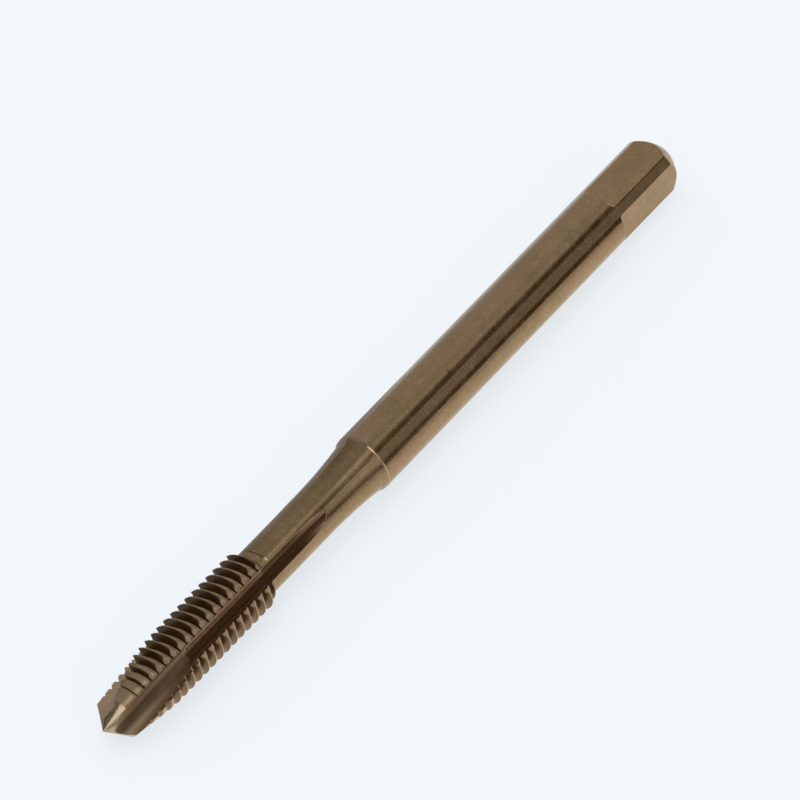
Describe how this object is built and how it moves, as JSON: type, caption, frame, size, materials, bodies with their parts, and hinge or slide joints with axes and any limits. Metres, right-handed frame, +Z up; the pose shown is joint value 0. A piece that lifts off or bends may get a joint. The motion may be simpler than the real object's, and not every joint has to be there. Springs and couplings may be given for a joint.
{
  "type": "thread tap",
  "caption": "Machine tap with a right-hand metric thread, straight flutes, spiral-point ends, a reduced neck, a round shank and a driving square.",
  "frame": {"origin": "centre of the flat face of the square end, on the axis of the tap", "axes": "+X along the axis out of the square end, with the point towards -X; +Z up as the tap lies on a surface"},
  "size_m": [0.082, 0.006, 0.006],
  "materials": {
    "tool_steel": "ground, with a straw-bronze oxide surface"
  },
  "bodies": {
    "root": {"tap": "tool_steel"}
  },
  "joints": []
}
